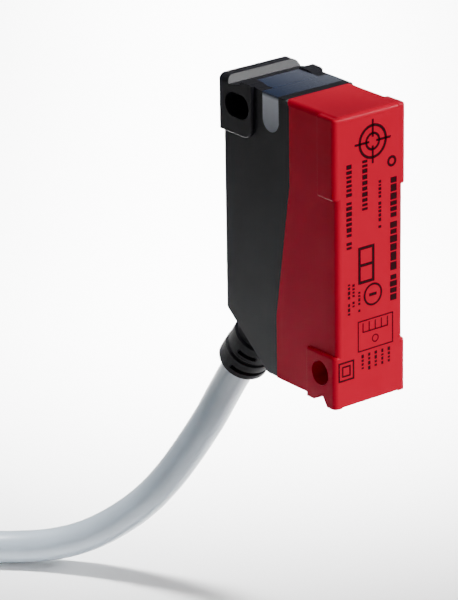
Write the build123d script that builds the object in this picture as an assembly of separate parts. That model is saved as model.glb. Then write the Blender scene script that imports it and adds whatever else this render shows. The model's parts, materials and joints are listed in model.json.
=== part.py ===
"""Photoelectric sensor: slim two-part plastic case, status window, single-board electronics, moulded cable.

Case frame used while modelling: X across the sensor (x = 0 in its middle), Y from the optics face (-Y)
to the label face (+Y) with y = 0 at mid-depth, Z up with z = 0 under the foot of the rear cover.
Every part is shifted at export so that the origin is the centre of the lower mounting hole.
"""
import os
from math import atan2, cos, degrees, pi, radians, sin, tan

from build123d import *

# ---------------------------------------------------------------- driving dimensions (mm)
WIDTH = 15.1  # over the mounting pads
PAD = 0.6  # how far the pads stand proud of each side
DEPTH = 29.7
HEIGHT = 50.0
LIP = 0.57  # front lip above the rear cover's top
SKIRT = 0.72  # case bottom above the foot
WALL = 1.2
CASE_ROUND = 0.9  # housing's upright front edges, cover's top and label edges
SKIRT_ROUND = 0.4  # housing's lower side edges
FOOT_ROUND = 0.35
LIP_ROUND = 1.3  # upper ends of the front lip
SLOT_PAD_CORNER = 2.3
SLOT_PAD_ROUND = 0.22
COVER_PAD_ROUND = 0.85  # cover's pads, along the label face
COVER_LEDGE_ROUND = 0.45  # cover's pads, along their upper and lower ends
COVER_PAD_FRONT_ROUND = 0.12

SLOT_CENTRE = (-10.15, 46.05)
SLOT_SIZE = (6.2, 4.2)  # along Y, along Z
HOLE_CENTRE = (11.0, 5.5)
HOLE_RADIUS = 2.1

CABLE_RADIUS = 2.9
CORE_RADIUS = 0.65
CORE_PITCH = 2.0  # centre distance of the four cores in the jacket
CORE_COLOURS = ("brown", "white", "blue", "black")

GLAND_LENGTH = 13.4
GLAND_ALONG = 4.4  # gland axis, measured down the chamfer from its upper edge
GLAND_TILT = radians(3.0)  # gland axis, steeper than square to the chamfer
RELIEF_SLOTS = ((3.0, 52, 50), (7.3, -38, 24), (11.2, -71, 54))  # along the gland, turn, half angle
RELIEF_WIDTH = 0.85
RELIEF_DEPTH = 3.35  # radius at the bottom of a slot
CHAMFER_TOP = 9.95
CHAMFER_FOOT = -3.3

WINDOW_DEPTH = 27.0  # height of the front optics window
LENS_HEIGHTS = (34.2, 21.2)  # emitter, receiver
LENS_RADII = (4.1, 4.7)

COIL_LAYERS = 5  # full layers of two rows; one more inner row lies on top
COIL_MID_RADIUS = 29.0
COIL_END_TURN = 0.04  # where the top inner row ends, in turns from the cable's entry
COIL_GAP_ANGLE = 62.0  # how far that row stays open past its end
TIE_TURN = 0.013
TIE_THICKNESS = 1.0
TIE_WIDTH = 4.0

# Route of the free cable from the gland to its coil, in the exported frame.
# Its first run leaves the gland along the gland's axis.
CABLE_LEAD = 7.8
CABLE_ROUTE = [
    (1.5, -38.6, -23.5),
    (6.5, -46.1, -37.4),
    (11.7, -54.1, -45.7),
    (17.2, -61.0, -49.9),
    (23.7, -68.2, -51.4),
    (32.8, -75.1, -50.7),
    (44.5, -78.8, -50.4),
    (58.9, -78.5, -50.2),
    (73.2, -77.7, -50.2),
    (87.2, -77.5, -50.1),
]

# ---------------------------------------------------------------- worked-out sizes
HALF = WIDTH / 2
SIDE = HALF - PAD  # half width of the case between pads
FRONT = -DEPTH / 2
REAR = DEPTH / 2
INNER = SIDE - WALL
INNER_FRONT = FRONT + 1.45
INNER_REAR = REAR - 1.25
INNER_TOP = HEIGHT - WALL
INNER_FOOT = 2.0
CABLE = 2 * CABLE_RADIUS
CHAMFER_ANGLE = atan2(CHAMFER_TOP - SKIRT, CHAMFER_FOOT - FRONT)
GLAND_AXIS = Vector(0, -sin(CHAMFER_ANGLE - GLAND_TILT), -cos(CHAMFER_ANGLE - GLAND_TILT))
GLAND_SEAT = Vector(
    0, FRONT + GLAND_ALONG * cos(CHAMFER_ANGLE), CHAMFER_TOP - GLAND_ALONG * sin(CHAMFER_ANGLE)
)
ORIGIN = Vector(0, *HOLE_CENTRE)

# Outlines in the YZ plane. The parting line runs from the top edge down the sides to the bottom.
PARTING = [(1.9, HEIGHT), (2.7, 49.0), (2.7, 35.5), (-1.0, 11.75), (-1.0, SKIRT)]
GROOVE = [(FRONT + 2.0, HEIGHT + LIP), (-12.2, 49.33), (-9.4, 49.85), (-9.2, HEIGHT)]
FRONT_OUTLINE = [(FRONT, HEIGHT + LIP), *GROOVE, *PARTING, (CHAMFER_FOOT, SKIRT), (FRONT, CHAMFER_TOP)]
REAR_OUTLINE = [
    *reversed(PARTING),
    (REAR, HEIGHT),
    (REAR, 0.0),
    (12.75, 0.0),
    (11.7, 1.6),
    (9.5, SKIRT),
]
CAVITY = [
    (INNER_FRONT, 42.4),
    (-5.5, 42.4),
    (-5.5, INNER_TOP),
    (INNER_REAR, INNER_TOP),
    (INNER_REAR, 9.4),
    (7.2, 9.4),
    (7.2, INNER_FOOT),
    (-2.83, INNER_FOOT),
    (INNER_FRONT, 10.45),
]


# ---------------------------------------------------------------- helpers
def prism(outline, x_from, x_to):
    """Solid with the given YZ outline between two X planes."""
    face = Plane.YZ.offset(x_from) * Polygon(*outline, align=None)
    return extrude(face, amount=x_to - x_from, dir=(1, 0, 0))


def wide(outline, half_width=SIDE):
    """Solid with the given YZ outline, centred across the sensor."""
    return prism(outline, -half_width, half_width)


def block(x_range, y_range, z_range):
    """Box given by its ranges along the three axes."""
    lows, highs = zip(x_range, y_range, z_range)
    size = [high - low for low, high in zip(lows, highs)]
    middle = [(high + low) / 2 for low, high in zip(lows, highs)]
    return Pos(*middle) * Box(*size)


def rod(start, direction, length, radius):
    """Cylinder from a start point along a direction."""
    plane = Plane(origin=start, z_dir=direction)
    return extrude(plane * Circle(radius), amount=length)


def along_x(centre, radius, half_width=HALF):
    """Cylinder across the sensor through a YZ point."""
    return rod((-half_width, *centre), (1, 0, 0), 2 * half_width, radius)


def edges_at(shape, **places):
    """Edges whose every point has the given coordinates, such as x=3.0 or y=-1.0."""
    wanted = [(axis.upper(), value) for axis, value in places.items()]

    def lies_there(edge):
        points = [edge @ 0, edge @ 0.5, edge @ 1]
        return all(abs(getattr(point, axis) - value) < 1e-3 for point in points for axis, value in wanted)

    return [edge for edge in shape.edges() if lies_there(edge)]


def rounded_wire(points, largest=1e9):
    """Straight runs joined by tangent arcs, each arc as large as its two runs allow."""
    corners = [Vector(*p) for p in points]
    radii = []
    for before, corner, after in zip(corners, corners[1:], corners[2:]):
        half_turn = radians((corner - before).get_angle(after - corner)) / 2
        shorter = min((corner - before).length, (after - corner).length)
        radii.append(min(largest, 0.45 * shorter / tan(half_turn)))
    return FilletPolyline(*corners, radius=radii), radii


def tube(points, radius, largest=1e9):
    """Round tube along rounded_wire, with its bend radii and its length."""
    path, radii = rounded_wire(points, largest)
    section = Plane(origin=path @ 0, z_dir=path % 0) * Circle(radius)
    return sweep(section, path=path), radii, path.length


# ---------------------------------------------------------------- case
def slot_cutter(half_width=HALF + 1):
    """Upper mounting slot, round ended, across the whole sensor."""
    length, height = SLOT_SIZE
    outline = Plane.YZ.offset(-half_width) * (Pos(*SLOT_CENTRE) * SlotOverall(length, height))
    return extrude(outline, amount=2 * half_width)


def tongue_outline():
    """YZ face of the status window's band with its round lower end."""
    low_y, high_y = -4.1, 0.05
    radius = (high_y - low_y) / 2
    centre = ((low_y + high_y) / 2, 43.5 + radius)
    strip = Pos(centre[0], (centre[1] + HEIGHT + 2) / 2) * Rectangle(2 * radius, HEIGHT + 2 - centre[1])
    return Plane.YZ.offset(-HALF) * (strip + Pos(*centre) * Circle(radius))


def front_pad(side):
    """Raised pad around the upper slot, on one side of the case."""
    inner_edge = -6.2
    low = 41.0
    outline = [
        (FRONT, HEIGHT + LIP),
        *GROOVE[:3],
        (-8.95, 50.42),
        (-7.0, 50.42),
        (inner_edge, 50.2),
        (inner_edge, low),
        (FRONT, low),
    ]
    pad = prism(outline, SIDE - 1, HALF)
    pad = fillet(edges_at(pad, y=inner_edge, z=low), SLOT_PAD_CORNER)
    outer = [edge for edge in edges_at(pad, x=HALF) if (edge @ 0.5).Z < 49 or (edge @ 0.5).Y < -13]
    pad = fillet(outer, SLOT_PAD_ROUND)
    return pad if side > 0 else mirror(pad, Plane.YZ)


def ear(side):
    """Raised end of the sighting groove beside the status window."""
    outline = [(-9.4, 48.8), (-9.4, 49.85), (-8.95, 50.42), (-7.0, 50.42), (-5.0, 49.9), (-5.0, 48.8)]
    shape = prism(outline, 4.8, SIDE)
    return shape if side > 0 else mirror(shape, Plane.YZ)


def front_solid():
    """Outside of the front housing, with its rounded edges."""
    body = wide(FRONT_OUTLINE)
    corners = [edge for side in (-SIDE, SIDE) for edge in edges_at(body, x=side, y=FRONT)]
    body = fillet(corners, CASE_ROUND)
    skirt = [edge for side in (-SIDE, SIDE) for edge in edges_at(body, x=side, z=SKIRT)]
    body = fillet(skirt, SKIRT_ROUND)
    for side in (-1, 1):
        body += front_pad(side) + ear(side)
    return body


def lip_rounding(solid):
    """Round the two upper ends of the front lip and its pads, seen from the front."""
    top = HEIGHT + LIP
    x_low, z_low = HALF - LIP_ROUND, top - LIP_ROUND
    for side in (-1, 1):
        corner = block((x_low, HALF + 1), (FRONT - 1, -12.0), (z_low, top + 1))
        corner -= rod((x_low, FRONT - 1, z_low), (0, 1, 0), DEPTH, LIP_ROUND)
        solid -= corner if side > 0 else mirror(corner, Plane.YZ)
    return solid


def rear_pad(side, outline):
    """Raised pad on one side of the rear cover, flush with its label face."""
    pad = prism(outline, SIDE - 1, HALF)
    pad = fillet(edges_at(pad, x=HALF, y=REAR), COVER_PAD_ROUND)
    outer = [edge for edge in edges_at(pad, x=HALF) if (edge @ 0.5).Y < REAR - 1]
    ledges = [edge for edge in outer if edge.length > 3 and abs((edge % 0).Y) > 0.99]
    pad = fillet(ledges, COVER_LEDGE_ROUND)
    front_y = min(y for y, _ in outline)
    fronts = [edge for edge in edges_at(pad, x=HALF) if (edge @ 0.5).Y < front_y + 0.1]
    pad = fillet(fronts, COVER_PAD_FRONT_ROUND)
    return pad if side > 0 else mirror(pad, Plane.YZ)


def rear_solid():
    """Outside of the rear cover, with its rounded edges and four pads."""
    body = wide(REAR_OUTLINE)
    rounded = edges_at(body, y=REAR, z=HEIGHT)
    for side in (-SIDE, SIDE):
        rounded += edges_at(body, x=side, y=REAR) + edges_at(body, x=side, z=HEIGHT)
    body = fillet(rounded, CASE_ROUND)
    foot = [e for e in body.edges() if (e @ 0.5).Z < 0.01 and abs((e @ 0.5).Y - REAR) < 0.01]
    body = fillet(foot, FOOT_ROUND)
    upper = [(10.5, 36.0), (REAR, 36.0), (REAR, HEIGHT - 0.15), (10.5, HEIGHT - 0.15)]
    lower = [(7.5, 0.45), (9.4, 0.45), (11.7, 1.6), (12.75, 0.0), (REAR, 0.0), (REAR, 9.1), (7.5, 9.1)]
    for side in (-1, 1):
        body += rear_pad(side, upper) + rear_pad(side, lower)
    return body


def gland_bore(solid):
    """Seat of the cable gland's neck in the chamfered corner."""
    return solid - rod(GLAND_SEAT - GLAND_AXIS * 3.0, GLAND_AXIS, 6.0, 3.5)


def seal_outline():
    """Strip along the parting line that the case seal fills."""
    width = 0.9
    inner = [(y - width, z) for y, z in PARTING]
    return [*PARTING, *reversed(inner)]


def seal_solid(shell):
    """Case seal: inner half of the wall, along the front housing's edge."""
    inset = 0.55
    core = wide([(y, z) for y, z in ((FRONT, SKIRT + inset), (REAR, SKIRT + inset),
                                     (REAR, HEIGHT - inset), (FRONT, HEIGHT - inset))], SIDE - inset)
    return shell & core & wide(seal_outline(), SIDE - inset)


def status_window():
    """Light window: plate over the front of the case top, band across it and a tongue down each side."""
    band = front_solid() & extrude(tongue_outline(), amount=WIDTH)
    band -= block((0.8 - SIDE, SIDE - 0.8), (-5, 1), (40, HEIGHT - 1.1))
    plate = block((-4.75, 4.75), (-9.1, -4.1), (HEIGHT - 1.1, HEIGHT + 0.05))
    rib = block((-3.6, 3.6), (-3.4, -1.9), (47.4, HEIGHT - 1.1))
    return band + plate + rib


def case_parts():
    """Front housing, rear cover, seal and the two windows."""
    cavity = wide(CAVITY, INNER)
    slot = slot_cutter()
    front = lip_rounding(front_solid()) - cavity - slot
    rear = rear_solid() - cavity - along_x(HOLE_CENTRE, HOLE_RADIUS, HALF + 1)
    window = status_window() & lip_rounding(front_solid() + block((-5, 5), (-10, 2), (46, HEIGHT + 0.05)))
    front -= window
    seal = seal_solid(front)
    front -= seal
    optics = front_window()
    front = gland_bore(front - optics - optics_opening()) - gland()
    return {
        "front_housing": front,
        "rear_cover": rear,
        "case_seal": seal,
        "status_window": window,
        "optics_window": optics,
    }


def front_window():
    """Flat window in the optics face, in a rebate of the housing."""
    middle = sum(LENS_HEIGHTS) / 2
    half = WINDOW_DEPTH / 2
    plate = block((-5.5, 5.5), (FRONT + 0.15, FRONT + 1.05), (middle - half, middle + half))
    return fillet(plate.edges().filter_by(Axis.Y), 0.8)


def optics_opening():
    """Opening behind and in front of the window."""
    middle = sum(LENS_HEIGHTS) / 2
    half = WINDOW_DEPTH / 2
    behind = block((-4.9, 4.9), (FRONT + 1, INNER_FRONT + 0.1), (middle - half + 0.6, middle + half - 0.6))
    mouth = block((-5.5, 5.5), (FRONT - 0.1, FRONT + 0.15), (middle - half, middle + half))
    return behind + fillet(mouth.edges().filter_by(Axis.Y), 0.8)


# ---------------------------------------------------------------- optics
CARRIER_FRONT = INNER_FRONT + 0.1
CARRIER_REAR = -4.4
LENS_BACK = -10.6


def barrel(height, radius):
    """Light path through the carrier: lens seat, then a cone towards the chip."""
    seat = rod((0, CARRIER_FRONT, height), (0, 1, 0), LENS_BACK - CARRIER_FRONT, radius)
    plane = Plane(origin=(0, LENS_BACK, height), x_dir=(1, 0, 0), z_dir=(0, 1, 0))
    cone = loft([plane * Circle(radius - 0.5), plane.offset(CARRIER_REAR - LENS_BACK) * Circle(2.4)])
    return seat + cone


def optics_carrier():
    """Black moulding that holds both lenses and keeps their light paths apart."""
    body = block((-5.4, 5.4), (CARRIER_FRONT, CARRIER_REAR), (15.4, 40.2))
    for height, radius in zip(LENS_HEIGHTS, LENS_RADII):
        body -= barrel(height, radius)
    return body


def lens(height, radius):
    """Plano-convex lens with a flat rim, curved side towards the chip."""
    rim = 1.1
    rise = 1.4
    ball = (radius**2 + rise**2) / (2 * rise)
    centre_y = CARRIER_FRONT + rim + rise - ball
    disc = rod((0, CARRIER_FRONT, height), (0, 1, 0), rim + rise, radius)
    dome = Pos(0, centre_y, height) * Sphere(ball)
    edge = rod((0, CARRIER_FRONT, height), (0, 1, 0), rim, radius)
    return (disc & dome) + edge


def optics_parts():
    """Lens carrier, lenses and the two light chips on their board."""
    names = ("emitter_lens", "receiver_lens")
    parts = {"optics_carrier": optics_carrier()}
    for name, height, radius in zip(names, LENS_HEIGHTS, LENS_RADII):
        parts[name] = lens(height, radius)
    emitter_z, receiver_z = LENS_HEIGHTS
    base = rod((0, CARRIER_REAR, emitter_z), (0, -1, 0), 1.2, 1.5)
    parts["emitter_led"] = base + Pos(0, CARRIER_REAR - 1.2, emitter_z) * Sphere(1.2)
    parts["receiver_photodiode"] = block(
        (-1.5, 1.5), (CARRIER_REAR - 1.0, CARRIER_REAR), (receiver_z - 1.5, receiver_z + 1.5)
    )
    return parts


# ---------------------------------------------------------------- electronics
BOARD = 0.8
OPTICS_BOARD_REAR = CARRIER_REAR + BOARD
MAIN_FRONT = 3.0
MAIN_REAR = MAIN_FRONT + 1.0
HEADER_X = (-3.81, -1.27, 1.27, 3.81)


def on_main(x, z, width, height, thickness):
    """Component body on the rear of the main board."""
    return block(
        (x - width / 2, x + width / 2), (MAIN_REAR, MAIN_REAR + thickness), (z - height / 2, z + height / 2)
    )


def chip_with_legs(x, z, width, height, thickness, legs):
    """Gull-wing package: body and two rows of legs as one solid."""
    chip = on_main(x, z, width, height, thickness)
    step = height / legs
    for row in range(legs):
        leg_z = z - height / 2 + (row + 0.5) * step
        chip += on_main(x, leg_z, width + 1.6, 0.4, 0.25)
    return chip


def shield_can():
    """Folded sheet lid over the receiver's amplifier, open towards its board."""
    outer = block((-4.2, 4.2), (OPTICS_BOARD_REAR, OPTICS_BOARD_REAR + 1.8), (17.2, 26.4))
    inner = block((-3.95, 3.95), (OPTICS_BOARD_REAR, OPTICS_BOARD_REAR + 1.55), (17.45, 26.15))
    return outer - inner


def electronics_parts():
    """Two boards, the header between them and what is soldered on them."""
    optics_board = block((-5.4, 5.4), (CARRIER_REAR, OPTICS_BOARD_REAR), (15.0, 47.0))
    main_board = block((-5.4, 5.4), (MAIN_FRONT, MAIN_REAR), (4.6, 47.2))
    header_z = 43.9
    header_depth = (OPTICS_BOARD_REAR, OPTICS_BOARD_REAR + 2.5)
    led_depth = (OPTICS_BOARD_REAR, OPTICS_BOARD_REAR + 1.5)
    header = block((-5.1, 5.1), header_depth, (header_z - 1.25, header_z + 1.25))
    pins = {}
    for number, x in enumerate(HEADER_X, start=1):
        pin = block(
            (x - 0.32, x + 0.32), (OPTICS_BOARD_REAR, MAIN_FRONT), (header_z - 0.32, header_z + 0.32)
        )
        pins[f"header_pin_{number}"] = pin
        header -= pin
    leds = {
        "status_led_green": block((1.4, 3.0), led_depth, (46.3, 47.3)),
        "status_led_yellow": block((-3.0, -1.4), led_depth, (46.3, 47.3)),
    }
    inductor = rod((2.3, MAIN_REAR, 14.4), (0, 1, 0), 2.6, 2.4)
    capacitors = [on_main(x, 20.6, 2.0, 3.5, 1.9) for x in (-3.2, 0.2, 3.6)]
    return {
        "optics_board": optics_board,
        "main_board": main_board,
        "board_header": header,
        **pins,
        "receiver_shield": shield_can(),
        **leds,
        "microcontroller": on_main(0, 37.5, 5.0, 5.0, 0.9),
        "output_driver": chip_with_legs(0, 28.2, 4.0, 5.0, 1.5, 4),
        "voltage_regulator": chip_with_legs(-3.0, 14.4, 1.7, 3.0, 1.1, 3),
        "filter_inductor": inductor,
        "filter_capacitors": Compound(children=capacitors),
    }


# ---------------------------------------------------------------- cable
def gland_profile():
    """Half outline of the gland's outside as (distance along its axis, radius)."""
    return [
        (-2.6, 4.2),
        (-1.3, 4.2),
        (-1.3, 3.5),
        (0.0, 3.5),
        (0.0, 4.5),
        (0.9, 4.5),
        (1.3, 3.9),
        (5.2, 3.9),
        (5.6, 4.25),
        (8.9, 4.25),
        (9.1, 4.1),
        (9.5, 4.1),
        (9.7, 4.4),
        (13.0, 4.45),
        (GLAND_LENGTH, 4.15),
    ]


def gland():
    """Moulded bend relief: flanged neck in the case wall, then ribbed sleeve around the cable."""
    profile = gland_profile()
    outline = [(radius, along) for along, radius in profile]
    outline = [(CABLE_RADIUS, profile[0][0]), *outline, (CABLE_RADIUS, profile[-1][0])]
    plane = Plane(origin=GLAND_SEAT, x_dir=(1, 0, 0), z_dir=GLAND_AXIS)
    side_plane = Plane(origin=plane.origin, x_dir=plane.x_dir, z_dir=-plane.y_dir)
    section = side_plane * Polygon(*outline, align=None)
    sleeve = revolve(section, axis=Axis(plane.origin, plane.z_dir), revolution_arc=360)
    for along, turn, half_angle in RELIEF_SLOTS:
        for side in (0, 180):
            sleeve -= relief_slot(plane.offset(along), turn + side, half_angle)
    return sleeve


def relief_slot(plane, turn, half_angle):
    """Crescent slot that lets the sleeve bend."""
    reach = 8.0
    spread = reach * tan(radians(half_angle))
    wedge = Rot(0, 0, turn) * Polygon((0, 0), (reach, -spread), (reach, spread), align=None)
    ring = plane * (Circle(6.0) - Circle(RELIEF_DEPTH))
    return extrude(ring & (plane * wedge), amount=RELIEF_WIDTH)


def core_offsets():
    """Where the four cores sit in the jacket's section."""
    reach = CORE_PITCH / 2
    return [(reach, reach), (-reach, reach), (-reach, -reach), (reach, -reach)]


def inner_cores():
    """Four insulated cores from the jacket's inner end to the main board."""
    jacket_end = GLAND_SEAT - GLAND_AXIS * 4.0
    across = Vector(0, -GLAND_AXIS.Z, GLAND_AXIS.Y)
    parts = {}
    for colour, (x, up), pad_x in zip(CORE_COLOURS, core_offsets(), (3.9, -3.9, -1.3, 1.3)):
        start = jacket_end + Vector(x, 0, 0) + across * up
        leave = start - GLAND_AXIS * (2.2 - up)
        end = Vector(pad_x, MAIN_FRONT, 8.8 - 1.2 * up)
        middle = Vector((x + pad_x) / 2, -3.0, 9.8 - 1.2 * up)
        square = end - Vector(0, 2.5, 0)
        parts[f"core_{colour}"], _, _ = tube([start, leave, middle, square, end], CORE_RADIUS, 2.5)
    return parts


def free_cable():
    """Tube along the cable's route, with the checks of its bends and volume printed."""
    start = GLAND_SEAT + GLAND_AXIS * GLAND_LENGTH
    route = [start, start + GLAND_AXIS * CABLE_LEAD, *(Vector(*p) + ORIGIN for p in CABLE_ROUTE)]
    solid, radii, length = tube(route, CABLE_RADIUS)
    print("cable leaves the gland at:", start - ORIGIN)
    print("cable bend radii (mm):", [round(r, 1) for r in radii])
    print("cable tube length (mm):", round(length, 1), "volume ratio:",
          round(solid.volume / (pi * CABLE_RADIUS**2 * length), 4))
    return solid


def coil_frame():
    """Coil centre on its base, the angle at which the cable enters, and the way the cable comes in."""
    entry = Vector(*CABLE_ROUTE[-1]) + ORIGIN
    last_run = Vector(*CABLE_ROUTE[-1]) - Vector(*CABLE_ROUTE[-2])
    heading = Vector(last_run.X, last_run.Y, 0).normalized()
    centre = entry + Vector(-heading.Y, heading.X, 0) * (COIL_MID_RADIUS + CABLE_RADIUS)
    angle = degrees(atan2(entry.Y - centre.Y, entry.X - centre.X))
    return Vector(centre.X, centre.Y, entry.Z - CABLE_RADIUS), angle, last_run.normalized()


def ring_of(outline, start_angle=0.0, arc=360.0):
    """Ring around Z with a section of (radius, height) points."""
    section = Plane.XZ * Polygon(*outline, align=None)
    return Rot(0, 0, start_angle) * revolve(section, axis=Axis.Z, revolution_arc=arc)


def coil_parts():
    """Coiled cable as one solid, its tie, and the stripped cores that lie on it."""
    base, entry_angle, last_direction = coil_frame()
    end_angle = entry_angle + 360 * COIL_END_TURN
    inner, middle, outer = COIL_MID_RADIUS - CABLE, COIL_MID_RADIUS, COIL_MID_RADIUS + CABLE
    low = CABLE * COIL_LAYERS
    high = low + CABLE
    outline = [(inner, 0), (outer, 0), (outer, low), (middle, low), (middle, high), (inner, high)]
    open_row = [(inner, low), (middle, low), (middle, high), (inner, high)]
    ring = Pos(*base) * (ring_of(outline) - ring_of(open_row, end_angle, COIL_GAP_ANGLE))
    entry = Vector(*CABLE_ROUTE[-1]) + ORIGIN
    ring -= rod(entry, -last_direction, 30.0, CABLE_RADIUS + 0.6)
    hull = [(inner, 0), (outer, 0), (outer, low), (middle, high), (inner, high)]
    tie = coil_tie(base, entry_angle + 360 * TIE_TURN, hull) - ring
    return {"cable_coil": ring, "cable_tie": tie, **stripped_cores(base, end_angle, low)}


def coil_tie(base, angle, hull):
    """Flat tie around the coil's section, with its head on top."""
    face = Polygon(*hull, align=None)
    loop = extrude(Plane.XZ * (offset(face, amount=TIE_THICKNESS) - face), amount=TIE_WIDTH / 2, both=True)
    (left, top), (right, _) = hull[-1], hull[-2]
    head = Pos((left + right) / 2, 0, top + TIE_THICKNESS + 1.4) * Box(5.2, 5.6, 2.8)
    return Pos(*base) * (Rot(0, 0, angle) * (loop + head))


def stripped_cores(base, angle, height):
    """Bared ends: four insulated cores that come down onto the coil's outer row, each with a tinned tip."""

    def around(turned, radius, up):
        turn = radians(angle + turned)
        return base + Vector(radius * cos(turn), radius * sin(turn), up)

    ahead = Vector(-sin(radians(angle)), cos(radians(angle)), 0)
    row_radius = COIL_MID_RADIUS - CABLE_RADIUS
    rest_radius = COIL_MID_RADIUS + 3.3
    parts, tips = {}, []
    for colour, (side, lift) in zip(CORE_COLOURS, core_offsets()):
        start = around(0, row_radius + side, height + CABLE_RADIUS + lift)
        above = height + CORE_RADIUS + (1.5 if lift > 0 else 0.1)
        spread = side * (2.1 if lift > 0 else 1.0)
        points = [
            start,
            start + ahead * 1.8,
            around(26, rest_radius + side, above),
            around(48, rest_radius + spread, above),
        ]
        parts[f"end_core_{colour}"], _, _ = tube(points, CORE_RADIUS, 4.0)
        direction = (points[3] - points[2]).normalized()
        tips.append(rod(points[3], direction, 5.0, 0.4))
    return {**parts, "end_tips": Compound(children=tips)}


def cable_parts():
    """Gland, jacket end in the gland, cores, free cable and its coil."""
    jacket_end = GLAND_SEAT - GLAND_AXIS * 4.0
    stub = rod(jacket_end, GLAND_AXIS, GLAND_LENGTH + 4.0, CABLE_RADIUS)
    clamp = rod(GLAND_SEAT - GLAND_AXIS * 3.6, GLAND_AXIS, 0.9, 3.9)
    clamp -= rod(jacket_end, GLAND_AXIS, 6.0, CABLE_RADIUS)
    parts = {"cable_gland": gland(), "jacket_end": stub, "crimp_ring": clamp, "cable": free_cable()}
    return {**parts, **inner_cores(), **coil_parts()}


# ---------------------------------------------------------------- assembly
def main():
    """Build every part, shift it to the exported frame and write its STEP file."""
    os.makedirs("parts", exist_ok=True)
    parts = {**case_parts(), **optics_parts(), **electronics_parts(), **cable_parts()}
    for name, shape in parts.items():
        export_step(Pos(*(-ORIGIN)) * shape, f"parts/{name}.step")


main()
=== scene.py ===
"""Looks of the photoelectric sensor: materials, print, coiled cable, floor, lights and camera.

Lengths named in millimetres are scaled by MM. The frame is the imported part's: the origin in the
lower mounting hole, +X across the sensor, +Y towards the red label face and +Z up.
"""
import json
import math
import random

import bmesh
import bpy
from mathutils import Matrix, Vector


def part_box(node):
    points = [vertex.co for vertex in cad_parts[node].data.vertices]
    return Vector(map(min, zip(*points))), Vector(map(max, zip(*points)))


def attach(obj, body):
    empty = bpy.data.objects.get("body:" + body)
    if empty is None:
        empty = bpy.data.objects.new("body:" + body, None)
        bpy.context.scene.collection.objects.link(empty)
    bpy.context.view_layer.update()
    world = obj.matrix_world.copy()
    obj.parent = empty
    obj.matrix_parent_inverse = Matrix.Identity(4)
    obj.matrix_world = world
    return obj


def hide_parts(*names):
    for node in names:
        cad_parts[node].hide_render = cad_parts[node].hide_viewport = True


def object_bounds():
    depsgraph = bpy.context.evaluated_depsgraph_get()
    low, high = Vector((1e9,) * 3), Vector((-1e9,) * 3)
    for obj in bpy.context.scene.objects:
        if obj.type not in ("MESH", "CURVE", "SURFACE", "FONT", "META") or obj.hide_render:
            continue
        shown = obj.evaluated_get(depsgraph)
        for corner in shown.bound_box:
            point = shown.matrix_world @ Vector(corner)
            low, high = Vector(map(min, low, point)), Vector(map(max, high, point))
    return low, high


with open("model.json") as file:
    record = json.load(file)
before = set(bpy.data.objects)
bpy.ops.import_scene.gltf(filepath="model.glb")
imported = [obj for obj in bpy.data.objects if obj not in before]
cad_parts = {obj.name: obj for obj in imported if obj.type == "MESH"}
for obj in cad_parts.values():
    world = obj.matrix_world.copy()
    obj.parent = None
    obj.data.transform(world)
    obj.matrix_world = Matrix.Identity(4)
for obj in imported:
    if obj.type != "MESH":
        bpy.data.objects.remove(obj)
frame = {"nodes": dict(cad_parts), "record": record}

CAD_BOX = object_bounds()
MM = 0.001

# ---------------------------------------------------------------- driving numbers (mm unless said)
CABLE_RADIUS = 2.9
GLAND_EXIT = (0.0, -30.219, -9.188)  # where the cable leaves its strain relief
CABLE_ROUTE = [  # control points of the free stretch, down to the floor and along it to the coil
    GLAND_EXIT,
    (0.0, -34.763, -15.528),
    (1.5, -38.6, -23.5),
    (6.5, -46.1, -37.4),
    (11.7, -54.1, -45.7),
    (17.2, -61.0, -49.9),
    (23.7, -68.2, -51.2),
    (32.8, -75.1, -50.7),
    (44.5, -78.8, -50.4),
    (58.9, -78.5, -50.2),
    (73.2, -77.7, -50.2),
    (87.2, -77.5, -50.1),
]
COIL_ROWS = (31.9, 26.1)  # radii of the outer and the inner row
COIL_LAYERS = (5, 6)  # turns on top of each other in those rows
COIL_TURNS = 10.04
FIRST_STEP = 0.88  # turns before the cable first moves to another row or layer
STEP_EVERY = 0.92  # turns from one such step to the next
STEP_COUNT = 10
STEP_TURNS = 0.16  # how much of a turn a step takes
POINTS_PER_TURN = 24

TIE_TURN = 0.013  # where the tie sits, as part of a turn from the cable's entry
TIE_HALF_WIDTH, TIE_HALF_THICK = 1.9, 0.5
TIE_BEVEL = (0.85, 0.4)  # share of the half width and half thickness where the bevel starts
TIE_STEP = 9  # degrees of a corner between two points of the strap
TIE_HEAD, TIE_HEAD_BEVEL = (5.2, 5.6, 2.6), 0.45
TIE_TAIL, TIE_TAIL_BEVEL = (5.5, 3.6, 0.9), 0.2
TIE_TAIL_IN, TIE_TAIL_UP = 4.6, 0.1  # the tail's middle from the head's middle

CAMERA_PLACE = (365.3, 438.6, 234.9)
CAMERA_RIGHT = (-0.78762, 0.61601, -0.01388)
CAMERA_UP = (-0.23509, -0.27961, 0.93089)
CAMERA_LENS, CAMERA_SENSOR = 225.1, 36.0
CAMERA_CLIP = (0.05, 20)  # metres

COVER_LOW, COVER_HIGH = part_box("rear_cover")  # metres
LABEL_Y = COVER_HIGH.y / MM
FACE_BOTTOM = COVER_LOW.z / MM
INK_THICK, INK_SINK = 0.03, 0.01  # over and under the label face
WORD_GAP = 3.2  # gap after a group of bars, in gaps between its bars

CLOUD_SCALE = 130  # features per metre of the slow colour drift
GLOSS_SPREAD = (0.88, 1.14)  # least and most roughness, as a share of the named one
GRAIN_BUMP = 0.35
COAT_ROUGH = 0.08

WINDOW_PAINTED_LIGHT_ACROSS = (-7, 7)  # X where the top plate's painted light, paler towards -X, starts and ends
WINDOW_PAINTED_LIGHT_DOWN = (38, 44)  # Z where the tongues' painted light, milky pale from light through them, starts and ends
WINDOW_EDGE = (43.6, 44.4)  # Z where the tongues turn into the top plate

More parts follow.
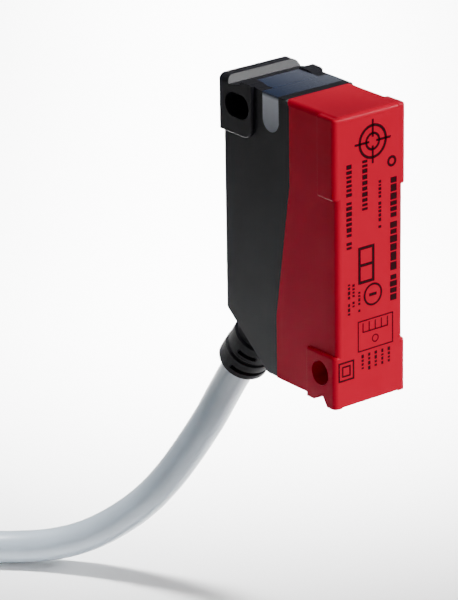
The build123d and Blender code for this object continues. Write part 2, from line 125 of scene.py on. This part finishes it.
SHARP_ANGLE = 35  # degrees, smooth shading below it
FLOOR_SIZE = 6  # metres
WORLD_STRENGTH = 0.11
LAMPS = [  # name, place, aim and size in metres, power in watts, then spread and turn in degrees
    ("key", (-0.04, 0.9, 0.36), (0, 0, 0.01), (0.12, 0.12), 0.06, 18, 0.0),
    ("flank", (-0.56, 0.62, 0.52), (0, 0, 0.03), (0.3, 0.3), 0.19, 20, 0.0),
    ("overhead", (0.0, 0.0, 1.6), (0, 0, 0), (1.5, 1.5), 2.0, 180, 0.0),
    ("backdrop", (-0.16, -0.23, 0.4), (-0.16, -0.23, -0.05), (0.16, 0.42), 3.2, 28, -36.9),
]


# ---------------------------------------------------------------- node materials
def new_material(name):
    """Empty node material: (material, nodes, links, shader)."""
    made = bpy.data.materials.new(name)
    made.use_nodes = True
    nodes, links = made.node_tree.nodes, made.node_tree.links
    return made, nodes, links, nodes["Principled BSDF"]


def noise(nodes, links, scale, detail=3.0, stretch=(1, 1, 1)):
    """Noise in object space. Scale is in features per metre."""
    place = nodes.new("ShaderNodeTexCoord")
    mapping = nodes.new("ShaderNodeMapping")
    mapping.inputs["Scale"].default_value = stretch
    texture = nodes.new("ShaderNodeTexNoise")
    texture.inputs["Scale"].default_value = scale
    texture.inputs["Detail"].default_value = detail
    links.new(place.outputs["Object"], mapping.inputs["Vector"])
    links.new(mapping.outputs["Vector"], texture.inputs["Vector"])
    return texture


def ramp(nodes, links, value, low, high, colours):
    """Colours from a value: the first up to low, the second from high."""
    made = nodes.new("ShaderNodeValToRGB")
    made.color_ramp.elements[0].position = low
    made.color_ramp.elements[1].position = high
    for stop, colour in zip(made.color_ramp.elements, colours):
        stop.color = (*colour, 1)
    links.new(value, made.inputs["Fac"])
    return made.outputs["Color"]


def share_between(nodes, links, value, low, high):
    """Map Range node: 0 where a value is low, 1 where it is high."""
    made = nodes.new("ShaderNodeMapRange")
    made.inputs["From Min"].default_value = low
    made.inputs["From Max"].default_value = high
    links.new(value, made.inputs["Value"])
    return made


def add_bump(nodes, links, shader, height, strength, depth):
    """Bump from a height. Depth is in millimetres."""
    bump = nodes.new("ShaderNodeBump")
    bump.inputs["Strength"].default_value = strength
    bump.inputs["Distance"].default_value = depth * MM
    links.new(height, bump.inputs["Height"])
    links.new(bump.outputs["Normal"], shader.inputs["Normal"])


def moulded(name, colour, rough, grain=5200, relief=0.012, drift=0.12, coat=0.0, specular=0.5,
            stretch=(1, 1, 1)):
    """Moulded plastic or rubber: slow colour drift, uneven gloss and a fine moulded grain."""
    made, nodes, links, shader = new_material(name)
    cloud = noise(nodes, links, CLOUD_SCALE, 4.0)
    darker = tuple(c * (1 - drift) for c in colour)
    lighter = tuple(min(1.0, c * (1 + drift)) for c in colour)
    tint = ramp(nodes, links, cloud.outputs["Fac"], 0.3, 0.7, (darker, lighter))
    links.new(tint, shader.inputs["Base Color"])
    fine = noise(nodes, links, grain, 2.0, stretch)
    gloss = nodes.new("ShaderNodeMapRange")
    gloss.inputs["To Min"].default_value = rough * GLOSS_SPREAD[0]
    gloss.inputs["To Max"].default_value = rough * GLOSS_SPREAD[1]
    links.new(fine.outputs["Fac"], gloss.inputs["Value"])
    links.new(gloss.outputs["Result"], shader.inputs["Roughness"])
    add_bump(nodes, links, shader, fine.outputs["Fac"], GRAIN_BUMP, relief)
    shader.inputs["Coat Weight"].default_value = coat
    shader.inputs["Coat Roughness"].default_value = COAT_ROUGH
    shader.inputs["Specular IOR Level"].default_value = specular
    return made


def metal(name, colour, rough):
    """Plated or drawn metal with a faint lay across Y."""
    made = moulded(name, colour, rough, grain=2600, relief=0.004, drift=0.05, stretch=(1, 12, 1))
    made.node_tree.nodes["Principled BSDF"].inputs["Metallic"].default_value = 1.0
    return made


def clear_plastic(name, colour, rough, transmission):
    """Tinted clear plastic, slightly uneven."""
    made = moulded(name, colour, rough, grain=900, relief=0.002, drift=0.06)
    shader = made.node_tree.nodes["Principled BSDF"]
    shader.inputs["Transmission Weight"].default_value = transmission
    shader.inputs["IOR"].default_value = 1.49
    return made


def smoked_window_painted_light(name):
    """Smoked window: navy, with painted light paler to -X on the top plate and milky pale down the side
    tongues.
    """
    made = clear_plastic(name, (0.05, 0.06, 0.09), 0.12, 0.1)
    nodes, links = made.node_tree.nodes, made.node_tree.links
    place = nodes.new("ShaderNodeTexCoord")
    split = nodes.new("ShaderNodeSeparateXYZ")
    links.new(place.outputs["Object"], split.inputs["Vector"])
    painted_light_shades = []
    # Painted light: the top plate paler towards -X, and the tongues milky pale where light passes through
    # them.
    for axis, span, colours in (
        ("X", WINDOW_PAINTED_LIGHT_ACROSS, ((0.11, 0.12, 0.15), (0.01, 0.024, 0.07))),
        ("Z", WINDOW_PAINTED_LIGHT_DOWN, ((0.34, 0.36, 0.42), (0.78, 0.82, 0.9))),
    ):
        share = share_between(nodes, links, split.outputs[axis], *(end * MM for end in span))
        painted_light_shades.append(ramp(nodes, links, share.outputs["Result"], 0, 1, colours))
    plate, tongues = painted_light_shades
    level = share_between(nodes, links, split.outputs["Z"], *(end * MM for end in WINDOW_EDGE))
    level.interpolation_type = "SMOOTHSTEP"
    mix = nodes.new("ShaderNodeMix")
    mix.data_type = "RGBA"
    links.new(level.outputs["Result"], mix.inputs["Factor"])
    links.new(tongues, mix.inputs["A"])
    links.new(plate, mix.inputs["B"])
    links.new(mix.outputs["Result"], nodes["Principled BSDF"].inputs["Base Color"])
    return made


def circuit_board(name):
    """Green solder mask over faint straight tracks."""
    made, nodes, links, shader = new_material(name)
    place = nodes.new("ShaderNodeTexCoord")
    tracks = nodes.new("ShaderNodeTexBrick")
    tracks.inputs["Scale"].default_value = 420
    tracks.inputs["Mortar Size"].default_value = 0.03
    tracks.inputs["Color1"].default_value = (0.012, 0.11, 0.035, 1)
    tracks.inputs["Color2"].default_value = (0.016, 0.13, 0.045, 1)
    tracks.inputs["Mortar"].default_value = (0.04, 0.24, 0.09, 1)
    turn = nodes.new("ShaderNodeMapping")
    turn.inputs["Rotation"].default_value = (math.pi / 2, 0, 0)
    links.new(place.outputs["Object"], turn.inputs["Vector"])
    links.new(turn.outputs["Vector"], tracks.inputs["Vector"])
    links.new(tracks.outputs["Color"], shader.inputs["Base Color"])
    add_bump(nodes, links, shader, tracks.outputs["Fac"], 0.3, 0.03)
    shader.inputs["Roughness"].default_value = 0.3
    return made


PLASTICS = {  # and rubber, insulation and ink
    "black_housing": dict(colour=(0.011, 0.011, 0.015), rough=0.34, relief=0.014, specular=0.25),
    "red_cover": dict(colour=(0.62, 0.003, 0.03), rough=0.3, grain=6500, relief=0.006, drift=0.03,
                      specular=0.1),
    "seal": dict(colour=(0.02, 0.02, 0.02), rough=0.7),
    "black_chip": dict(colour=(0.02, 0.02, 0.021), rough=0.55),
    "ferrite": dict(colour=(0.05, 0.05, 0.055), rough=0.6),
    "ceramic": dict(colour=(0.5, 0.38, 0.24), rough=0.45),
    "gland_rubber": dict(colour=(0.008, 0.008, 0.01), rough=0.5, grain=3600, relief=0.02, specular=0.1),
    "cable_jacket": dict(colour=(0.36, 0.42, 0.48), rough=0.3, grain=1500, relief=0.008, drift=0.05,
                         coat=1.0),
    "core_brown": dict(colour=(0.16, 0.06, 0.025), rough=0.35),
    "core_white": dict(colour=(0.8, 0.8, 0.77), rough=0.35, drift=0.03),
    "core_blue": dict(colour=(0.02, 0.1, 0.45), rough=0.35),
    "core_black": dict(colour=(0.016, 0.016, 0.016), rough=0.35),
    "tie_nylon": dict(colour=(0.78, 0.78, 0.75), rough=0.4, drift=0.03),
    "print": dict(colour=(0.03, 0.0, 0.003), rough=0.5, drift=0.15, specular=0.15),
}
METALS = {
    "pins": dict(colour=(0.83, 0.62, 0.26), rough=0.25),
    "shield": dict(colour=(0.68, 0.68, 0.7), rough=0.3),
    "tinned": dict(colour=(0.72, 0.73, 0.75), rough=0.35),
}
CLEAR_PLASTICS = {
    "filter_window": dict(colour=(0.06, 0.002, 0.006), rough=0.06, transmission=0.35),
    "lens": dict(colour=(0.92, 0.94, 0.96), rough=0.04, transmission=0.95),
    "clear_chip": dict(colour=(0.8, 0.78, 0.74), rough=0.15, transmission=0.6),
    "led_green": dict(colour=(0.3, 0.75, 0.35), rough=0.3, transmission=0.3),
    "led_yellow": dict(colour=(0.9, 0.62, 0.08), rough=0.3, transmission=0.3),
}


def make_materials():
    """Every material of the object by the record's slot name, and the ink of the print."""
    materials = {"smoke_window": smoked_window_painted_light("smoke_window"), "board": circuit_board("board")}
    for maker, looks in ((moulded, PLASTICS), (metal, METALS), (clear_plastic, CLEAR_PLASTICS)):
        for name, look in looks.items():
            materials[name] = maker(name, **look)
    return materials


def dress_nodes(materials):
    """Give every carried-over node the material of its slot."""
    for row in frame["record"]["subparts"]:
        node = frame["nodes"][row["node"]]
        node.data.materials.clear()
        node.data.materials.append(materials[row["material_slot"]])


# ---------------------------------------------------------------- small helpers
def new_object(name, mesh_tool, material):
    """Mesh object from a bmesh, riding on the sensor."""
    bmesh.ops.recalc_face_normals(mesh_tool, faces=mesh_tool.faces)
    mesh = bpy.data.meshes.new(name)
    mesh_tool.to_mesh(mesh)
    mesh_tool.free()
    made = bpy.data.objects.new(name, mesh)
    bpy.context.scene.collection.objects.link(made)
    mesh.materials.append(material)
    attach(made, "root")
    return made


def smooth(made):
    """Smooth shading, apart from sharp edges."""
    made.data.shade_smooth()
    made.data.set_sharp_from_angle(angle=math.radians(SHARP_ANGLE))
    return made


def band(tool, first, second):
    """Faces between two closed rows of as many vertices."""
    for k in range(len(first)):
        other = (k + 1) % len(first)
        tool.faces.new((first[k], first[other], second[other], second[k]))


def ease(value):
    """Smooth step from 0 to 1."""
    value = min(1.0, max(0.0, value))
    return value * value * (3 - 2 * value)


# ---------------------------------------------------------------- cable
def coil_frame():
    """Coil centre on its base, and the angle at which the cable enters."""
    entry, before = Vector(CABLE_ROUTE[-1]), Vector(CABLE_ROUTE[-2])
    heading = Vector((entry.x - before.x, entry.y - before.y, 0)).normalized()
    centre = entry + Vector((-heading.y, heading.x, 0)) * COIL_ROWS[0]
    angle = math.atan2(entry.y - centre.y, entry.x - centre.x)
    return Vector((centre.x, centre.y, entry.z - CABLE_RADIUS)), angle


def coil_place(turns):
    """(radius, height over the base) of the cable after so many turns.

    Its steps alternate: one to the other row, then one up a layer.
    """
    radius, height = COIL_ROWS[0], CABLE_RADIUS
    for number in range(STEP_COUNT):
        row = 1 if number % 4 < 2 else 0
        layer = (number + 1) // 2
        middle = FIRST_STEP + number * STEP_EVERY
        share = ease((turns - middle) / STEP_TURNS + 0.5)
        radius += (COIL_ROWS[row] - radius) * share
        height += (CABLE_RADIUS * (1 + 2 * layer) - height) * share
    return radius, height


def coil_points():
    """Control points of the coil, a little outside its line, because the spline cuts its corners."""
    base, entry_angle = coil_frame()
    step = 2 * math.pi / POINTS_PER_TURN
    outside = 1 / (0.75 + 0.25 * math.cos(step))
    points = []
    count = round(COIL_TURNS * POINTS_PER_TURN)
    for number in range(1, count + 1):
        radius, height = coil_place(number / POINTS_PER_TURN)
        angle = entry_angle + number * step
        out = Vector((math.cos(angle), math.sin(angle), 0))
        points.append(base + out * radius * outside + Vector((0, 0, height)))
    return points


def make_cable(materials):
    """The whole jacket as one spline, from the gland to its stripped end."""
    points = [Vector(p) for p in CABLE_ROUTE] + coil_points()
    curve = bpy.data.curves.new("cable_jacket", "CURVE")
    curve.dimensions = "3D"
    curve.bevel_depth = CABLE_RADIUS * MM
    curve.bevel_resolution = 8
    curve.resolution_u = 6
    curve.use_fill_caps = True
    spline = curve.splines.new("NURBS")
    spline.points.add(len(points) - 1)
    for place, point in zip(spline.points, points):
        place.co = (*(point * MM), 1)
    spline.order_u = 3
    spline.use_endpoint_u = True
    spline.use_smooth = True
    made = bpy.data.objects.new("cable_jacket", curve)
    bpy.context.scene.collection.objects.link(made)
    curve.materials.append(materials["cable_jacket"])
    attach(made, "root")
    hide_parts("cable", "cable_coil")
    return made


def tie_path():
    """Strap's line around the coil's section: (out, up) from its axis and base, and outward normals."""
    outer, inner = COIL_ROWS
    outer_top, inner_top = ((2 * layers - 1) * CABLE_RADIUS for layers in COIL_LAYERS)
    reach = CABLE_RADIUS + TIE_HALF_THICK
    corners = [
        ((inner, CABLE_RADIUS), 180, 270),
        ((outer, CABLE_RADIUS), 270, 360),
        ((outer, outer_top), 0, 45),
        ((inner, inner_top), 45, 180),
    ]
    path = []
    for (out, up), first, last in corners:
        steps = round((last - first) / TIE_STEP)
        for step in range(steps + 1):
            turn = math.radians(first + (last - first) * step / steps)
            normal = Vector((math.cos(turn), math.sin(turn)))
            path.append((Vector((out, up)) + normal * reach, normal))
    return path


def make_tie(materials):
    """Nylon tie: bevelled strap around the coil, its head, and the cut tail."""
    base, entry_angle = coil_frame()
    angle = entry_angle + TIE_TURN * 2 * math.pi
    out = Vector((math.cos(angle), math.sin(angle), 0))
    along = Vector((-out.y, out.x, 0))
    up = Vector((0, 0, 1))
    wide, thick = TIE_HALF_WIDTH, TIE_HALF_THICK
    inset_wide, inset_thick = wide * TIE_BEVEL[0], thick * TIE_BEVEL[1]
    section = [
        (-wide, -inset_thick), (-inset_wide, -thick), (inset_wide, -thick), (wide, -inset_thick),
        (wide, inset_thick), (inset_wide, thick), (-inset_wide, thick), (-wide, inset_thick),
    ]
    tool = bmesh.new()
    rings = []
    for place, normal in tie_path():
        ring = []
        for side, lift in section:
            spot = place + normal * lift
            ring.append(tool.verts.new((base + out * spot.x + up * spot.y + along * side) * MM))
        rings.append(ring)
    for first, second in zip(rings, rings[1:] + rings[:1]):
        band(tool, first, second)
    strap = new_object("tie_strap", tool, materials["tie_nylon"])
    smooth(strap)
    head = tie_head(materials, base, out, along, up)
    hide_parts("cable_tie")
    return strap, head


def tie_head(materials, base, out, along, up):
    """Head block with bevelled edges, and the cut tail that stands out of it."""
    tool = bmesh.new()
    turn = Matrix((out, along, up)).transposed().to_4x4()
    coil_top = 2 * CABLE_RADIUS * COIL_LAYERS[1]
    middle = base + out * COIL_ROWS[1] + up * (coil_top + 2 * TIE_HALF_THICK + TIE_HEAD[2] / 2)
    for place, size, bevel in (
        (middle, TIE_HEAD, TIE_HEAD_BEVEL),
        (middle - out * TIE_TAIL_IN + up * TIE_TAIL_UP, TIE_TAIL, TIE_TAIL_BEVEL),
    ):
        shape = Matrix.Diagonal((*(Vector(size) * MM), 1))
        block = bmesh.ops.create_cube(tool, size=1, matrix=Matrix.Translation(place * MM) @ turn @ shape)
        edges = {edge for vert in block["verts"] for edge in vert.link_edges}
        bmesh.ops.bevel(tool, geom=list(edges), offset=bevel * MM, segments=3, affect="EDGES")
    return smooth(new_object("tie_head", tool, materials["tie_nylon"]))


# ---------------------------------------------------------------- printed label face
class Print:
    """Thin ink on the label face. Places are (x, height over the case's foot), in mm."""

    def __init__(self):
        self.tool = bmesh.new()

    def row(self, outline, y):
        """Vertices of an outline at a depth."""
        return [self.tool.verts.new(Vector((x, y, z + FACE_BOTTOM)) * MM) for x, z in outline]

    def prism(self, outline, hole=()):
        """Closed thin plate of an outline, or of the band between it and a hole of as many points."""
        low, high = LABEL_Y - INK_SINK, LABEL_Y + INK_THICK
        back, front = self.row(outline, low), self.row(outline, high)
        band(self.tool, back, front)
        if hole:
            hole_back, hole_front = self.row(hole, low), self.row(hole, high)
            band(self.tool, hole_back, hole_front)
            band(self.tool, back, hole_back)
            band(self.tool, front, hole_front)
        else:
            self.tool.faces.new(back)
            self.tool.faces.new(front)

    def bar(self, x, z, width, height):
        """Rectangle around a centre."""
        w, h = width / 2, height / 2
        self.prism([(x - w, z - h), (x + w, z - h), (x + w, z + h), (x - w, z + h)])

    def box(self, x, z, width, height, line):
        """Rectangle outline."""
        w, h = width / 2, height / 2
        corners = [(-w, -h), (w, -h), (w, h), (-w, h)]
        inner = [(a * (1 - line / w), b * (1 - line / h)) for a, b in corners]
        self.prism([(x + a, z + b) for a, b in corners], [(x + a, z + b) for a, b in inner])

    def ring(self, x, z, radius, line, count=48):
        """Circle outline."""
        turns = [2 * math.pi * k / count for k in range(count)]
        outer = [(x + radius * math.cos(t), z + radius * math.sin(t)) for t in turns]
        inner = [(x + (radius - line) * math.cos(t), z + (radius - line) * math.sin(t)) for t in turns]
        self.prism(outer, inner)

    def dashes(self, x, top, bottom, thick, shortest, longest, gap, word=5):
        """Row of bars that runs down the face, in groups, where the real one has a line of text."""
        z = top
        count = 0
        while z - shortest > bottom:
            length = min(random.uniform(shortest, longest), z - bottom)
            self.bar(x, z - length / 2, thick * random.uniform(0.8, 1.0), length)
            count += 1
            z -= length + gap * (WORD_GAP if count % word == 0 else 1)


def print_target(ink):
    """Aiming cross in two rings, and the small ring beside it."""
    x, z = -0.45, 44.75
    ink.ring(x, z, 2.95, 0.46)
    ink.ring(x, z, 1.55, 0.4)
    start, reach, line = 0.75, 3.75, 0.36
    middle, length = (reach + start) / 2, reach - start
    for dx, dz in ((1, 0), (-1, 0), (0, 1), (0, -1)):
        ink.bar(x + dx * middle, z + dz * middle, length if dx else line, length if dz else line)
    ink.ring(-4.45, 40.5, 0.95, 0.42, 32)


def print_text_rows(ink):
    """Four long rows of bars."""
    ink.dashes(-4.85, 37.7, 16.4, 1.5, 0.7, 1.5, 0.26, word=6)
    ink.dashes(-1.95, 37.8, 29.2, 0.6, 0.3, 0.6, 0.22)
    ink.dashes(1.2, 41.9, 33.4, 1.15, 0.4, 0.8, 0.3, word=12)
    ink.dashes(4.5, 41.8, 27.4, 1.2, 0.4, 0.8, 0.3, word=7)


def print_badges(ink):
    """Barred box, barred ring and the short rows of bars beside them."""
    ink.box(0.9, 24.0, 3.4, 6.4, 0.5)
    ink.bar(0.9, 24.0, 2.4, 0.5)
    ink.ring(-0.5, 18.5, 1.95, 0.34)
    ink.bar(-0.5, 18.5, 1.5, 0.5)
    for x, top, bottom in ((4.55, 21.4, 16.0), (3.6, 21.2, 17.2), (2.4, 19.6, 15.9)):
        ink.dashes(x, top, bottom, 0.5, 0.3, 0.65, 0.25, word=4)


def print_diagram(ink):
    """Wiring diagram: a box with its leads and a ring, over short rows of bars."""
    ink.box(-1.05, 11.7, 7.5, 5.4, 0.2)
    for x in (-3.6, -2.3, -1.0, 0.3, 1.6):
        ink.bar(x, 13.1, 0.2, 1.6)
    ink.bar(-1.0, 12.3, 5.4, 0.2)
    ink.ring(-1.0, 10.7, 0.7, 0.18, 24)
    for x in (-3.9, -2.5, -1.1, 0.3, 1.7):
        ink.dashes(x, 8.4, 5.4, 0.5, 0.3, 0.7, 0.25)


def make_print(materials):
    """All printed marks, generic in form, in the places and sizes of the real ones."""
    random.seed(7)
    ink = Print()
    print_target(ink)
    print_text_rows(ink)
    print_badges(ink)
    print_diagram(ink)
    ink.box(5.15, 6.4, 3.3, 3.4, 0.28)
    ink.box(5.15, 6.4, 1.8, 1.9, 0.26)
    new_object("label_print", ink.tool, materials["print"])


# ---------------------------------------------------------------- stage
def floor_paint():
    """Pale floor with a faint mottle."""
    made, nodes, links, shader = new_material("studio_floor")
    cloud = noise(nodes, links, 6, 2.0)
    tint = ramp(nodes, links, cloud.outputs["Fac"], 0.2, 0.8, ((0.9, 0.9, 0.9), (0.93, 0.93, 0.93)))
    links.new(tint, shader.inputs["Base Color"])
    shader.inputs["Roughness"].default_value = 0.9
    return made


def softbox(name, place, aim, size, power, spread, turn):
    """Rectangular lamp that looks at a point. Spread narrows its beam, turn rolls it; both in degrees."""
    data = bpy.data.lights.new(name, "AREA")
    data.shape = "RECTANGLE"
    data.size, data.size_y = size
    data.energy = power
    data.spread = math.radians(spread)
    light = bpy.data.objects.new(name, data)
    light.location = place
    light.rotation_mode = "QUATERNION"
    facing = (Vector(aim) - Vector(place)).to_track_quat("-Z", "Y")
    light.rotation_quaternion = facing @ Matrix.Rotation(math.radians(turn), 4, "Z").to_quaternion()
    bpy.context.scene.collection.objects.link(light)


def make_stage():
    """Floor, world and lights."""
    bpy.ops.mesh.primitive_plane_add(size=FLOOR_SIZE, location=(0, 0, CAD_BOX[0].z))
    floor = bpy.context.object
    floor.name = "studio_floor"
    floor.data.materials.append(floor_paint())
    world = bpy.data.worlds.new("studio")
    world.use_nodes = True
    background = world.node_tree.nodes["Background"]
    background.inputs["Color"].default_value = (1, 1, 1, 1)
    background.inputs["Strength"].default_value = WORLD_STRENGTH
    bpy.context.scene.world = world
    for lamp in LAMPS:
        softbox(*lamp)


def make_camera():
    """Camera at the photograph's viewing angle."""
    data = bpy.data.cameras.new("camera")
    data.lens = CAMERA_LENS
    data.sensor_width = CAMERA_SENSOR
    data.clip_start, data.clip_end = CAMERA_CLIP
    camera = bpy.data.objects.new("camera", data)
    right, up = Vector(CAMERA_RIGHT), Vector(CAMERA_UP)
    camera.matrix_world = (Matrix.Translation(Vector(CAMERA_PLACE) * MM)
                           @ Matrix((right, up, right.cross(up))).transposed().to_4x4())
    bpy.context.scene.collection.objects.link(camera)
    bpy.context.scene.camera = camera


# ---------------------------------------------------------------- assembly
def main():
    """Dress the frame, add the cable, tie and print, and set the stage."""
    materials = make_materials()
    dress_nodes(materials)
    make_camera()
    cable = make_cable(materials)
    strap, head = make_tie(materials)
    make_print(materials)
    make_stage()


main()
